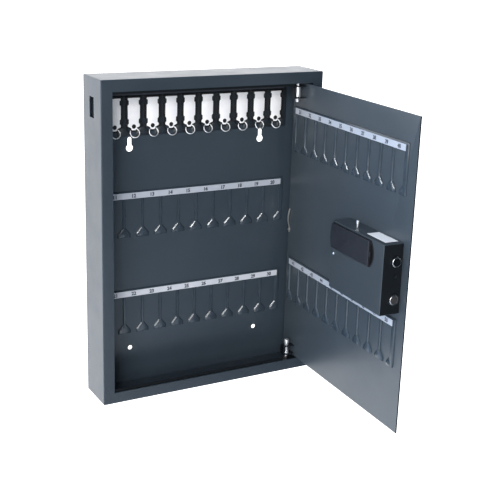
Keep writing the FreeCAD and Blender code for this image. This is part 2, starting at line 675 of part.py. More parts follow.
def keypad_bezel():
    """A hollow moulding on the door's outer face that carries keys, knob and key plug."""
    face = DOOR_OUTER_Y - BEZEL_DEPTH
    outside = box(BEZEL_X, (face, DOOR_OUTER_Y), BEZEL_Z)
    corners = [e for e in outside.Edges if abs(e.BoundBox.YLength - BEZEL_DEPTH) < 0.1]
    outside = outside.makeFillet(8.0, corners)
    wall = 2.0
    hollow = box((BEZEL_X[0] + wall, BEZEL_X[1] - wall), (face + wall, DOOR_OUTER_Y),
                 (BEZEL_Z[0] + wall, BEZEL_Z[1] - wall))
    hollow_corners = [e for e in hollow.Edges if abs(e.BoundBox.YLength - BEZEL_DEPTH + wall) < 0.1]
    bezel = outside.cut(hollow.makeFillet(6.5, hollow_corners))
    for x, z in key_centres():
        half_x, half_z = KEY_SIZE[0] / 2 + 0.2, KEY_SIZE[1] / 2 + 0.2
        bezel = bezel.cut(box((x - half_x, x + half_x), (face - 1, face + wall + 1),
                              (z - half_z, z + half_z)))
    spindle = rod(SPINDLE_RADIUS + 0.1, V(KNOB_X, face - 1, KNOB_Z), V(KNOB_X, DOOR_OUTER_Y, KNOB_Z))
    boss = rod(8.0, V(KNOB_X, face + 1, KNOB_Z), V(KNOB_X, DOOR_OUTER_Y, KNOB_Z))
    socket = rod(9.0, V(OVERRIDE_X, face + 1, OVERRIDE_Z), V(OVERRIDE_X, DOOR_OUTER_Y, OVERRIDE_Z))
    plug = rod(6.1, V(OVERRIDE_X, face - 1, OVERRIDE_Z), V(OVERRIDE_X, DOOR_OUTER_Y, OVERRIDE_Z))
    return fuse([bezel, boss, socket]).cut(spindle).cut(plug)


def keypad_key(x, z):
    """A key cap with a flange that the bezel holds in."""
    face = DOOR_OUTER_Y - BEZEL_DEPTH
    half_x, half_z = KEY_SIZE[0] / 2, KEY_SIZE[1] / 2
    cap = box((x - half_x, x + half_x), (face - 1.5, face + 4.5), (z - half_z, z + half_z))
    front = [edge for edge in cap.Edges if edge.BoundBox.YMax < face - 1.4]
    cap = cap.makeFillet(0.8, front)
    flange = box((x - half_x - 0.9, x + half_x + 0.9), (face + 2.1, face + 3.1),
                 (z - half_z - 0.9, z + half_z + 0.9))
    return fuse([cap, flange])


def circuit_board():
    board_y = (DOOR_OUTER_Y - 4.0, DOOR_OUTER_Y - 2.4)
    x = (KEYPAD_CENTRE[0] - 24, KEYPAD_CENTRE[0] + 24)
    return box(x, board_y, (KEYPAD_CENTRE[1] - 27, KEYPAD_CENTRE[1] + 27))


def override_plug():
    """The emergency key plug with its keyway and the cam at its inner end."""
    face = DOOR_OUTER_Y - BEZEL_DEPTH
    body = rod(6.0, V(OVERRIDE_X, face - 1.5, OVERRIDE_Z), V(OVERRIDE_X, depth_y(15), OVERRIDE_Z))
    keyway = box((OVERRIDE_X - 0.6, OVERRIDE_X + 0.6), (face - 2, face + 14),
                 (OVERRIDE_Z - 4, OVERRIDE_Z + 4))
    cam = box((OVERRIDE_X - 5, OVERRIDE_X + 16), depths(12, 14), (OVERRIDE_Z - 4, OVERRIDE_Z + 4))
    return fuse([body, cam]).cut(keyway)


# ---- build ----------------------------------------------------------------------------
os.makedirs("parts", exist_ok=True)

save("cabinet_shell", cabinet_shell())
save("back_panel", back_panel())
save("door_stop", door_stop())
save("hinge_bushes", hinge_bushes())
for number, rack_z in enumerate(BACK_RACKS_Z, 1):
    save("rack_%d" % number, back_rack(rack_z))
save("rack_labels_back", rack_labels_back())
for number in range(1, POCKETS + 1):
    tag_x = (number - (POCKETS + 1) / 2) * PITCH
    save("key_tag_%02d" % number, key_tag(tag_x, BACK_RACKS_Z[0]))

for number, rack_z in enumerate(DOOR_RACKS_Z, 4):
    save("rack_%d" % number, door_rack(rack_z), on_door=True)
for number, (key_x, key_z) in enumerate(key_centres(), 1):
    save("keypad_key_%02d" % number, keypad_key(key_x, key_z), on_door=True)

DOOR_PIECES = {
    "door_skin": door_skin,
    "door_backing": door_backing,
    "rack_labels_door": rack_labels_door,
    "hinge_pin_upper": hinge_pin_upper,
    "hinge_pin_lower": hinge_pin_lower,
    "hinge_pin_spring": hinge_pin_spring,
    "leaf_spring": leaf_spring,
    "lock_chassis": lock_chassis,
    "lock_cover": lock_cover,
    "lock_screws": lock_screws,
    "cover_label": cover_label,
    "bolt_carriage": bolt_carriage,
    "lock_bolts": lock_bolts,
    "solenoid_body": solenoid_body,
    "solenoid_plunger": solenoid_plunger,
    "plunger_spring": plunger_spring,
    "knob": knob,
    "knob_spindle": knob_spindle,
    "battery_box": battery_box,
    "battery_lid": battery_lid,
    "batteries": batteries,
    "battery_contacts": battery_contacts,
    "reset_button": reset_button,
    "keypad_bezel": keypad_bezel,
    "circuit_board": circuit_board,
    "override_plug": override_plug,
}
for node, make in DOOR_PIECES.items():
    save(node, make(), on_door=True)
save("hinge_bracket_upper", hinge_bracket(UPPER_EARS_Z), on_door=True)
save("hinge_bracket_lower", hinge_bracket(LOWER_EARS_Z), on_door=True)
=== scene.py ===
"""Looks of the key cabinet: materials, detailed pieces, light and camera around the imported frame.

Everything is in metres in the frame's axes: +X right, +Y into the wall, +Z up. The combs, the
numbers, the bolt faces and the screw dome of the door are shaped with the door shut, when its
inner face looks along +Y, and are then swung to the rest angle with the door.
"""
import bmesh
import bpy
import json
import math
from mathutils import Matrix, Quaternion, Vector


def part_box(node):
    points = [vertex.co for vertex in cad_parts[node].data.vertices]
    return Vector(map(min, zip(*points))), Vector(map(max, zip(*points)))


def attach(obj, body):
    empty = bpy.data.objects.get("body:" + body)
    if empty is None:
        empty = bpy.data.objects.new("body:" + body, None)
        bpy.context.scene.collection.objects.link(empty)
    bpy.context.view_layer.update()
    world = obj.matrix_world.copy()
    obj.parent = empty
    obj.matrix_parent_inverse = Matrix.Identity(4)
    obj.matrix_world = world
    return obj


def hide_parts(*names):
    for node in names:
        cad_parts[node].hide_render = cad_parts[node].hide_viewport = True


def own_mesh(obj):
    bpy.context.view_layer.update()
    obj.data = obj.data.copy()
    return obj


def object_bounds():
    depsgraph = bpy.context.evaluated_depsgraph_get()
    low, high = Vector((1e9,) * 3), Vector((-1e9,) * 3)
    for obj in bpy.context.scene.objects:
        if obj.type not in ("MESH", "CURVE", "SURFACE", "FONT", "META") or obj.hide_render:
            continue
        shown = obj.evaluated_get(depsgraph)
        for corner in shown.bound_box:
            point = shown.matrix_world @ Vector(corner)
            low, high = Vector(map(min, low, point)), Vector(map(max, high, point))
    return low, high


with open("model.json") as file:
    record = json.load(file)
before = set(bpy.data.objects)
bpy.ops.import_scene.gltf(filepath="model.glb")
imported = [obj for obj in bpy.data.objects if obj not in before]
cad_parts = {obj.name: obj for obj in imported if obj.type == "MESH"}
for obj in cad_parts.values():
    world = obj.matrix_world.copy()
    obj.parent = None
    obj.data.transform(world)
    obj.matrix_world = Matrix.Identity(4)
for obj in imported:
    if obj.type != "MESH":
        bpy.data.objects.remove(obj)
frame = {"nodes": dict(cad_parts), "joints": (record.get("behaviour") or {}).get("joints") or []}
CAD_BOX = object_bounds()
MM = 0.001


# ---- places read from the frame ---------------------------------------------------------
def joint(name):
    """A joint of the frame, by its name."""
    return next(entry for entry in frame["joints"] if entry["name"] == name)


# The door is shut at the lower limit of its hinge, and the rest angle is measured from there.
HINGE = Vector(joint("door_hinge")["pos_m"])
REST_ANGLE = -math.radians(joint("door_hinge")["range_deg"][0])
SWING = (Matrix.Translation(HINGE) @ Matrix.Rotation(REST_ANGLE, 4, "Z")
         @ Matrix.Translation(-HINGE))
UNSWING = SWING.inverted()


def shut_box(node):
    """A door node's box in the shut door's axes."""
    mesh = frame["nodes"][node].data
    points = [UNSWING @ vertex.co for vertex in mesh.vertices]
    low = Vector([min(p[i] for p in points) for i in range(3)])
    high = Vector([max(p[i] for p in points) for i in range(3)])
    return low, high


# ---- material tools ---------------------------------------------------------------------
# The middle of a noise's range, which is stretched to the range that a pattern needs.
NOISE_LOW = 0.3
NOISE_HIGH = 0.7

# Pointiness at which an edge begins to look worn and is fully worn, and the share of the lighter
# colour there.
WEAR_BEGINS = 0.53
WEAR_FULL = 0.68
WEAR_SHARE = 0.16


def new_material(name, colour, roughness, metallic=0.0, specular=0.5):
    """A Principled material and its node tree, shader and object coordinates."""
    material = bpy.data.materials.new(name)
    material.use_nodes = True
    tree = material.node_tree
    shader = tree.nodes["Principled BSDF"]
    shader.inputs["Base Color"].default_value = (*colour, 1)
    shader.inputs["Roughness"].default_value = roughness
    shader.inputs["Metallic"].default_value = metallic
    shader.inputs["Specular IOR Level"].default_value = specular
    place = tree.nodes.new("ShaderNodeTexCoord")
    return material, tree, shader, place.outputs["Object"]


def noise(tree, where, scale, detail=3.0, rough=0.55):
    """Noise whose scale counts features per metre."""
    node = tree.nodes.new("ShaderNodeTexNoise")
    node.inputs["Scale"].default_value = scale
    node.inputs["Detail"].default_value = detail
    node.inputs["Roughness"].default_value = rough
    tree.links.new(where, node.inputs["Vector"])
    return node.outputs["Fac"]


def stretched(tree, where, scale):
    """The same coordinates, stretched so that noise turns into streaks."""
    node = tree.nodes.new("ShaderNodeMapping")
    node.inputs["Scale"].default_value = scale
    tree.links.new(where, node.inputs["Vector"])
    return node.outputs["Vector"]


def ramp(tree, value, start, end, low, high, smooth=False):
    """Maps start..end to low..high."""
    node = tree.nodes.new("ShaderNodeMapRange")
    if smooth:
        node.interpolation_type = "SMOOTHSTEP"
    node.inputs["From Min"].default_value = start
    node.inputs["From Max"].default_value = end
    node.inputs["To Min"].default_value = low
    node.inputs["To Max"].default_value = high
    tree.links.new(value, node.inputs["Value"])
    return node.outputs["Result"]


def spread(tree, value, low, high):
    """Maps the middle of a noise's range to low..high."""
    return ramp(tree, value, NOISE_LOW, NOISE_HIGH, low, high)


def tint(tree, factor, dark, light):
    """A colour between two, by a factor."""
    node = tree.nodes.new("ShaderNodeMix")
    node.data_type = "RGBA"
    node.inputs["A"].default_value = (*dark, 1)
    node.inputs["B"].default_value = (*light, 1)
    tree.links.new(factor, node.inputs["Factor"])
    return node.outputs["Result"]


def bump(tree, shader, heights, distance, strength):
    """Bump from one or two heights, laid over each other."""
    normal = None
    for height in heights:
        node = tree.nodes.new("ShaderNodeBump")
        node.inputs["Distance"].default_value = distance
        node.inputs["Strength"].default_value = strength
        tree.links.new(height, node.inputs["Height"])
        if normal is not None:
            tree.links.new(normal, node.inputs["Normal"])
        normal = node.outputs["Normal"]
    tree.links.new(normal, shader.inputs["Normal"])


def shaded(colour, factor):
    """A colour made darker or lighter by a factor."""
    return tuple(channel * factor for channel in colour)


def edge_wear(tree, colour, worn):
    """Mixes a lighter colour in along sharp edges, where the surface is most pointed."""
    geometry = tree.nodes.new("ShaderNodeNewGeometry")
    wear = ramp(tree, geometry.outputs["Pointiness"], WEAR_BEGINS, WEAR_FULL, 0, WEAR_SHARE)
    node = tree.nodes.new("ShaderNodeMix")
    node.data_type = "RGBA"
    node.inputs["B"].default_value = (*worn, 1)
    tree.links.new(colour, node.inputs["A"])
    tree.links.new(wear, node.inputs["Factor"])
    return node.outputs["Result"]


# ---- kinds of surface -------------------------------------------------------------------
# Features per metre of each pattern.
PAINT_CLOUDS = 9.0
PAINT_SMUDGES = 26.0
ORANGE_PEEL = 900.0
FINE_PEEL = 3600.0
PLASTIC_CLOUDS = 60.0
PLASTIC_PATCHES = 90.0
SPARK_GRAIN = 2600.0
METAL_CLOUDS = 140.0
METAL_MARKS = 2200.0
PAPER_TONING = 70.0
PAPER_FIBRES = 3200.0

# Height of the relief.
PEEL_HEIGHT = 0.04 * MM
GRAIN_HEIGHT = 0.03 * MM
MARK_HEIGHT = 0.02 * MM
FIBRE_HEIGHT = 0.03 * MM

FIBRE_STRETCH = (1.0, 1.0, 0.35)


def painted(name, colour, roughness, specular=0.5):
    """Satin powder coat: cloudy colour, orange peel and a fine sparkle in the gloss."""
    material, tree, shader, where = new_material(name, colour, roughness, specular=specular)
    cloud = noise(tree, where, PAINT_CLOUDS, 4.0)
    base = tint(tree, spread(tree, cloud, 0, 1), shaded(colour, 0.93), shaded(colour, 1.07))
    worn = edge_wear(tree, base, shaded(colour, 1.9))
    tree.links.new(worn, shader.inputs["Base Color"])
    smudge = noise(tree, where, PAINT_SMUDGES, 5.0, 0.6)
    gloss = spread(tree, smudge, roughness - 0.035, roughness + 0.045)
    tree.links.new(gloss, shader.inputs["Roughness"])
    peel = noise(tree, where, ORANGE_PEEL, 2.0)
    fine = noise(tree, where, FINE_PEEL, 2.0)
    bump(tree, shader, [peel, fine], PEEL_HEIGHT, 0.22)
    return material


def moulded(name, colour, roughness, strength=0.35):
    """Moulded plastic with a fine spark-eroded grain."""
    material, tree, shader, where = new_material(name, colour, roughness)
    cloud = noise(tree, where, PLASTIC_CLOUDS)
    base = tint(tree, spread(tree, cloud, 0, 1), shaded(colour, 0.9), shaded(colour, 1.12))
    worn = edge_wear(tree, base, shaded(colour, 1.7))
    tree.links.new(worn, shader.inputs["Base Color"])
    patches = noise(tree, where, PLASTIC_PATCHES, 4.0)
    gloss = spread(tree, patches, roughness - 0.05, roughness + 0.06)
    tree.links.new(gloss, shader.inputs["Roughness"])
    bump(tree, shader, [noise(tree, where, SPARK_GRAIN, 2.0)], GRAIN_HEIGHT, strength)
    return material


def metal(name, colour, roughness):
    """Plated metal with fine marks and an uneven polish."""
    material, tree, shader, where = new_material(name, colour, roughness, metallic=1.0)
    marks = noise(tree, where, METAL_MARKS)
    cloud = noise(tree, where, METAL_CLOUDS, 4.0)
    base = tint(tree, spread(tree, cloud, 0, 1), shaded(colour, 0.9), colour)
    tree.links.new(base, shader.inputs["Base Color"])
    gloss = spread(tree, cloud, roughness, roughness + 0.1)
    tree.links.new(gloss, shader.inputs["Roughness"])
    bump(tree, shader, [marks], MARK_HEIGHT, 0.12)
    return material


def papery(name, colour, roughness):
    """Card or coated paper with fibres and faint toning."""
    material, tree, shader, where = new_material(name, colour, roughness, specular=0.35)
    fibres = noise(tree, stretched(tree, where, FIBRE_STRETCH), PAPER_FIBRES, 4.0)
    toning = noise(tree, where, PAPER_TONING)
    base = tint(tree, spread(tree, toning, 0, 1), shaded(colour, 0.95), colour)
    tree.links.new(base, shader.inputs["Base Color"])
    bump(tree, shader, [fibres], FIBRE_HEIGHT, 0.3)
    return material


# ---- the materials ----------------------------------------------------------------------
PAINT = (0.031, 0.043, 0.056)
paint = painted("case_powder_coat", PAINT, 0.33)
lock_paint = painted("lock_powder_coat", (0.035, 0.045, 0.054), 0.35)
# A lighter copy of the case coat on the door's backing: painted light where the door's inner face
# is lit more.
door_paint_painted_light = painted("door_coat_painted_light", (0.045, 0.058, 0.071), 0.34)
# Near black and dull: painted shade on the door stop, on the faces toward the door's free edge and
# on the tops of the door's combs and strips.
painted_shade_paint = painted("painted_shade_dark_coat", (0.003, 0.005, 0.007), 0.66, specular=0.2)
rack_plastic = moulded("rack_plastic", shaded(PAINT, 1.1), 0.17, strength=0.08)
# A lighter copy of the rack plastic on the door's combs: painted reflection.
door_rack_painted_light = moulded("door_rack_painted_light", shaded(PAINT, 1.15), 0.18, strength=0.08)
# A darker copy of the rack plastic: painted shade on the comb behind the tags.
tag_rack_plastic = moulded("tag_rack_plastic", shaded(PAINT, 0.42), 0.4, strength=0.1)
tag_plastic = moulded("tag_plastic", (0.005, 0.0055, 0.006), 0.42)
recess_plastic = moulded("recess_plastic", (0.003, 0.0035, 0.0045), 0.5)
lid_plastic = moulded("lid_plastic", (0.011, 0.012, 0.017), 0.46)
keypad_plastic = moulded("keypad_plastic", (0.012, 0.012, 0.014), 0.38)
key_rubber = moulded("key_rubber", (0.30, 0.32, 0.34), 0.55)
knob_plastic = moulded("knob_plastic", (0.015, 0.015, 0.017), 0.30)
strip_paper = papery("strip_label", (0.42, 0.45, 0.51), 0.36)
# Dark paper as painted shade on the strip above the tags, behind the top flange.
painted_shade_strip_paper = papery("painted_shade_strip_label", (0.04, 0.045, 0.055), 0.5)
low_strip_paper = papery("low_strip_label", (0.58, 0.60, 0.65), 0.36)
tag_paper = papery("tag_card", (0.91, 0.90, 0.91), 0.55)
white_paper = papery("cover_label_paper", (0.95, 0.93, 0.93), 0.5)
ink = papery("printed_digits", (0.035, 0.04, 0.055), 0.45)
bright_steel = metal("bright_plating", (0.80, 0.81, 0.83), 0.10)
pin_steel = metal("pin_plating", (0.86, 0.87, 0.89), 0.42)
leaf_steel = metal("leaf_steel", (0.90, 0.87, 0.80), 0.42)
bolt_steel = metal("bolt_steel", (0.62, 0.61, 0.60), 0.16)
zinc = metal("zinc_plating", (0.62, 0.63, 0.65), 0.30)
wire_steel = metal("spring_wire", (0.60, 0.60, 0.62), 0.24)
dark_zinc = metal("dark_bracket", (0.05, 0.06, 0.07), 0.4)
# The bolts' end faces: the upper one near black as a painted dark reflection, the lower one lighter
# as a painted brighter reflection.
bolt_face_painted_shade = metal("bolt_face_painted_shade", (0.04, 0.045, 0.05), 0.3)
bolt_face_painted_light = metal("bolt_face_painted_light", (0.24, 0.21, 0.20), 0.34)
brass = metal("plug_brass", (0.72, 0.55, 0.28), 0.24)
cell_sleeve = painted("cell_sleeve", (0.05, 0.055, 0.07), 0.25)
board_green = moulded("board_green", (0.012, 0.09, 0.035), 0.35)


# ---- the CAD nodes ----------------------------------------------------------------------
POCKETS = 10
KEYS = 12
CASE_RACKS = (1, 2, 3)
DOOR_RACKS = (4, 5)

CAD_FINISH = {
    paint: ["cabinet_shell", "back_panel", "door_skin"],
    # The door stop is near black with painted shade.
    painted_shade_paint: ["door_stop"],
    # The door's backing in the lighter copy of the coat, as painted light.
    door_paint_painted_light: ["door_backing"],
    lock_paint: ["lock_cover"],
    rack_plastic: ["rack_%d" % n for n in CASE_RACKS + DOOR_RACKS],
    strip_paper: ["rack_labels_back", "rack_labels_door"],
    tag_plastic: ["key_tag_%02d" % n for n in range(1, POCKETS + 1)],
    key_rubber: ["keypad_key_%02d" % n for n in range(1, KEYS + 1)],
    lid_plastic: ["battery_lid"],
    recess_plastic: ["battery_box"],
    keypad_plastic: ["keypad_bezel"],
    knob_plastic: ["knob"],
    white_paper: ["cover_label"],
    pin_steel: ["hinge_pin_upper", "hinge_pin_lower", "reset_button", "lock_screws"],
    leaf_steel: ["leaf_spring"],
    bolt_steel: ["lock_bolts"],
    dark_zinc: ["hinge_bracket_upper", "hinge_bracket_lower"],
    wire_steel: ["hinge_pin_spring", "plunger_spring", "battery_contacts", "hinge_bushes"],
    zinc: ["lock_chassis", "bolt_carriage", "knob_spindle", "solenoid_body", "solenoid_plunger"],
    brass: ["override_plug"],
    cell_sleeve: ["batteries"],
    board_green: ["circuit_board"],
}

# Width of the rounded edges, in millimetres.
SOFTENED = {
    "door_skin": 0.4, "door_backing": 0.4, "lock_cover": 0.4,
    "battery_lid": 0.35, "knob": 0.5, "keypad_bezel": 0.6, "lock_screws": 0.4,
    "hinge_bracket_upper": 0.4, "hinge_bracket_lower": 0.4, "hinge_pin_lower": 0.5,
    "door_stop": 0.3,
}
BEVEL_SEGMENTS = 3
BEVEL_ANGLE = math.radians(40)
WELD_DISTANCE = 0.01 * MM

# A face looks along a direction when the cosine between them is above this.
FACING = 0.9
SIDE_SCREW_HEAD = 5 * MM


def finish_cad_nodes():
    """Gives every CAD node the material of its finish."""
    for material, nodes in CAD_FINISH.items():
        for node in nodes:
            mesh = frame["nodes"][node].data
            mesh.materials.clear()
            mesh.materials.append(material)


def repaint(mesh, material, chosen):
    """Gives another material to the faces that a test picks."""
    mesh.materials.append(material)
    index = len(mesh.materials) - 1
    for face in mesh.polygons:
        if chosen(face):
            face.material_index = index


def darken_free_edge(node):
    """The face of a door node that looks along the shut door's -X gets painted shade, darker than
    the rest.
    """
    outward = SWING.to_3x3() @ Vector((-1, 0, 0))
    end = shut_box(node)[0].x + 0.1 * MM
    repaint(frame["nodes"][node].data, painted_shade_paint,
            lambda face: (UNSWING @ face.center).x < end and face.normal.dot(outward) > FACING)


def darken_top(mesh):
    """The faces of a mesh that look straight up get painted shade: darker and duller than the rest.
    """
    repaint(mesh, painted_shade_paint, lambda face: face.normal.z > FACING)


def vary_strips():
    """The strip above the tags is darkened with painted shade, and the one on the lowest rack is
    lighter.
    """
    mesh = frame["nodes"]["rack_labels_back"].data
    low_rack_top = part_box("rack_3")[1].z
    tag_rack_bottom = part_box("rack_1")[0].z
    repaint(mesh, low_strip_paper, lambda face: face.center.z < low_rack_top)
    # Painted shade on the strip above the tags.
    repaint(mesh, painted_shade_strip_paper, lambda face: face.center.z > tag_rack_bottom)


def darken_side_screw():
    """The screw on the bolt side of the lock gets the dark bracket metal as painted shade, like the
    rest of that side.
    """
    end = shut_box("lock_screws")[0].x + SIDE_SCREW_HEAD
    repaint(frame["nodes"]["lock_screws"].data, dark_zinc,
            lambda face: (UNSWING @ face.center).x < end)


def soften(node, width):
    """Rounds a CAD node's sharp edges: its loose facets are welded, then bevelled."""
    piece = frame["nodes"][node]
    weld = piece.modifiers.new("weld", "WELD")
    weld.merge_threshold = WELD_DISTANCE
    bevel = piece.modifiers.new("bevel", "BEVEL")
    bevel.width = width
    bevel.segments = BEVEL_SEGMENTS
    bevel.limit_method = "ANGLE"
    bevel.angle_limit = BEVEL_ANGLE
    bevel.harden_normals = True


# ---- mesh tools -------------------------------------------------------------------------
CORNER_STEPS = 4
CORNER_REACH = 0.49
MERGE_DISTANCE = 0.001 * MM
TO_AXIS = {
    "X": Matrix.Rotation(math.pi / 2, 3, "Y"),
    "Y": Matrix.Rotation(-math.pi / 2, 3, "X"),
    "Z": Matrix.Identity(3),
}


def link(name, data):
    """A new object in the scene."""
    thing = bpy.data.objects.new(name, data)
    bpy.context.scene.collection.objects.link(thing)
    return thing


def add_piece(name, mesh, material, body, replaces=(), matrix=None):
    """Links a mesh as a piece that rides on a body and may stand for CAD nodes."""
    if matrix is not None:
        mesh.transform(matrix)
    mesh.name = name
    mesh.materials.clear()
    mesh.materials.append(material)
    piece = link(name, mesh)
    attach(piece, body)
    if replaces:
        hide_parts(*replaces)
    return piece


def mesh_from(bm):
    """A mesh out of a bmesh, which is freed."""
    mesh = bpy.data.meshes.new("mesh")
    bm.to_mesh(mesh)
    bm.free()
    return mesh


def lofted(rings, smooth_angle=40, capped=True):
    """A mesh that joins rings of equally many points with quads, with its ends closed if capped.

    The shading is smooth up to an angle, in degrees.
    """
    bm = bmesh.new()
    rows = [[bm.verts.new(point) for point in ring] for ring in rings]
    count = len(rows[0])
    for low, high in zip(rows, rows[1:]):
        for i in range(count):
            j = (i + 1) % count
            bm.faces.new((low[i], low[j], high[j], high[i]))
    if capped:
        bm.faces.new(rows[0])
        bm.faces.new(rows[-1])
    bmesh.ops.remove_doubles(bm, verts=bm.verts, dist=MERGE_DISTANCE)
    bmesh.ops.recalc_face_normals(bm, faces=bm.faces)
    for face in bm.faces:
        face.smooth = True
    limit = math.radians(smooth_angle)
    for edge in bm.edges:
        if len(edge.link_faces) == 2 and edge.calc_face_angle(0) > limit:
            edge.smooth = False
    return mesh_from(bm)


def rounded(corners):
    """A closed outline whose corners, given as (x, z, radius), are rounded off."""
    outline = []
    count = len(corners)
    for i, (x, z, radius) in enumerate(corners):
        here = Vector((x, z))
        before = Vector(corners[i - 1][:2]) - here
        after = Vector(corners[(i + 1) % count][:2]) - here
        turn = before.angle(after)
        reach = min(radius / math.tan(turn / 2), before.length * CORNER_REACH,
                    after.length * CORNER_REACH)
        start = here + before.normalized() * reach
        end = here + after.normalized() * reach
        for step in range(CORNER_STEPS + 1):
            t = step / CORNER_STEPS
            outline.append(start * (1 - t) ** 2 + here * 2 * t * (1 - t) + end * t * t)
    return outline


def at_depth(outline, y):
    """An upright ring of points from an outline in x and z."""
    return [(point.x, y, point.y) for point in outline]


def turned(profile, axis, centre, segments):
    """The rings of a body of revolution from (radius, height) pairs along an axis."""
    rings = []
    for radius, height in profile:
        ring = []
        for i in range(segments):
            angle = 2 * math.pi * i / segments
            point = Vector((radius * math.cos(angle), radius * math.sin(angle), height))
            ring.append(TO_AXIS[axis] @ point + Vector(centre))
        rings.append(ring)
    return rings


def joined(meshes):
    """One mesh out of several, which are removed."""
    bm = bmesh.new()
    for mesh in meshes:
        bm.from_mesh(mesh)
        bpy.data.meshes.remove(mesh)
    return mesh_from(bm)


# ---- racks ------------------------------------------------------------------------------
PITCH = (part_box("rack_labels_back")[1].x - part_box("rack_labels_back")[0].x) / POCKETS
RIB_HALF = 2.6 * MM
FOOT_HALF = 11.8 * MM
RAIL_DEPTH = 14.3 * MM
SHOULDER_DROP = 63.8 * MM
SLOPE_DROP = 74.8 * MM

# Share of the bevel's inset that each edge of the outline takes. The top edge takes all of it.
RIB_BEVEL = 0.45
FOOT_BEVEL = 0.8
RAIL_BEVEL = 0.5
SLOPE_BEVEL = 0.6
END_BEVEL = 0.6
BOTTOM_BEVEL = 0.4

# The bevel's section from the back: inset of the outline, and share of the comb's thickness.
COMB_SECTION = ((0, 0), (0, 0.45), (0.25 * MM, 0.52), (2.3 * MM, 0.97), (2.5 * MM, 1))


def comb_outline(low, high, inset):
    """The comb's rounded outline, counter-clockwise seen from the front."""
    top = high.z - inset
    bottom = low.z + inset * BOTTOM_BEVEL
    rail = high.z - RAIL_DEPTH + inset * RAIL_BEVEL
    shoulder = high.z - SHOULDER_DROP - inset * SLOPE_BEVEL
    slope = high.z - SLOPE_DROP - inset * SLOPE_BEVEL
    rib = RIB_HALF - inset * RIB_BEVEL
    foot = FOOT_HALF - inset * FOOT_BEVEL
    left_end = low.x + inset * END_BEVEL
    right_end = high.x - inset * END_BEVEL
    first = (low.x + high.x) / 2 - POCKETS * PITCH / 2
    corners = [(left_end, top, MM), (left_end, bottom, MM)]
    for index in range(POCKETS):
        left = first + index * PITCH
        right = left + PITCH
        corners += [
            (left + foot, bottom, 0.8 * MM), (left + foot, slope, 2.5 * MM),
            (left + rib, shoulder, 5.0 * MM), (left + rib, rail, 0.8 * MM),
            (right - rib, rail, 0.8 * MM), (right - rib, shoulder, 1.5 * MM),
            (right - foot, slope, 1.0 * MM), (right - foot, bottom, 0.8 * MM),
        ]
    corners += [(right_end, bottom, MM), (right_end, top, MM)]
    return rounded(corners)


def comb_mesh(low, high, toward):
    """A comb with bevelled ribs and shoulders; toward is +1 or -1, the way its face looks in y."""
    back = low.y if toward > 0 else high.y
    reach = toward * (high.y - low.y)
    rings = [at_depth(comb_outline(low, high, inset), back + reach * share)
             for inset, share in COMB_SECTION]
    return lofted(rings, smooth_angle=30)


def make_case_racks():
    """The three combs on the back panel, the first of them darker, with painted shade from the tags
    in front of it.
    """
    for number in CASE_RACKS:
        node = "rack_%d" % number
        # The first comb gets the darker copy of the plastic as painted shade.
        finish = tag_rack_plastic if number == 1 else rack_plastic
        add_piece("comb_" + node, comb_mesh(*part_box(node), -1), finish, "cabinet",
                  [node])


def make_door_racks():
    """The two combs on the door's inner face, in a lighter copy of the rack plastic as painted
    reflection, with painted shade on their tops.
    """
    for number in DOOR_RACKS:
        node = "rack_%d" % number
        comb = add_piece("comb_" + node, comb_mesh(*shut_box(node), 1), door_rack_painted_light, "door",
                         [node], SWING)
        # Painted shade on the comb's top faces.
        darken_top(comb.data)


# ---- position numbers -------------------------------------------------------------------
DIGIT_SIZE = 8.6 * MM
DIGIT_CENTRE_DROP = 8.4 * MM
DIGIT_BOLDNESS = 0.42 * MM
DIGIT_CURVE_STEPS = 3
PRINT_THICKNESS = 0.01 * MM
FACE_TO_FRONT = Matrix.Rotation(math.pi / 2, 4, "X")
ABOUT_FACE = Matrix.Rotation(math.pi, 4, "Z")


def text_mesh(words, x):
    """Printed characters about x on a face at y = 0 that looks along -Y."""
    curve = bpy.data.curves.new("digits", "FONT")
    curve.body = words
    curve.size = DIGIT_SIZE
    curve.align_x = "CENTER"
    curve.align_y = "CENTER"
    curve.extrude = PRINT_THICKNESS
    curve.offset = DIGIT_BOLDNESS
    curve.resolution_u = DIGIT_CURVE_STEPS
    text = link("digits", curve)
    bpy.context.view_layer.update()
    mesh = bpy.data.meshes.new_from_object(text)
    bpy.data.objects.remove(text)
    bpy.data.curves.remove(curve)
    mesh.transform(Matrix.Translation((x, 0, 0)) @ FACE_TO_FRONT)
    return mesh


def rack_numbers(rack):
    """The ten numbers of a rack in a row about x = 0."""
    first = (rack - 1) * POCKETS + 1
    middle = (POCKETS - 1) / 2
    return joined([text_mesh(str(first + k), (k - middle) * PITCH) for k in range(POCKETS)])


def make_digits():
    """Position numbers on the label strips: 1 to 30 in the case, 31 to 50 on the door."""
    case_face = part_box("rack_labels_back")[0].y - PRINT_THICKNESS
    door_face = shut_box("rack_labels_door")[1].y + PRINT_THICKNESS
    for number in CASE_RACKS:
        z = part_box("rack_%d" % number)[1].z - DIGIT_CENTRE_DROP
        add_piece("digits_rack_%d" % number, rack_numbers(number), ink, "cabinet",
                  matrix=Matrix.Translation((0, case_face, z)))
    for number in DOOR_RACKS:
        low, high = shut_box("rack_%d" % number)
        place = Matrix.Translation(((low.x + high.x) / 2, door_face, high.z - DIGIT_CENTRE_DROP))
        add_piece("digits_rack_%d" % number, rack_numbers(number), ink, "door",
                  matrix=SWING @ place @ ABOUT_FACE)


# ---- key tags ---------------------------------------------------------------------------
TAG_HALF = 13.3 * MM
TAG_WAIST = 11.3 * MM
TAG_TIP = 4.5 * MM
TAG_THICKNESS = 4.0 * MM
TAG_PLATE = 1.3 * MM
TAG_FLARE = 2.1 * MM
TAG_RIM = 2.5 * MM
CARD_SINK = 0.9 * MM
CARD_GAP = 0.05 * MM
CARD_EDGE = 0.2 * MM

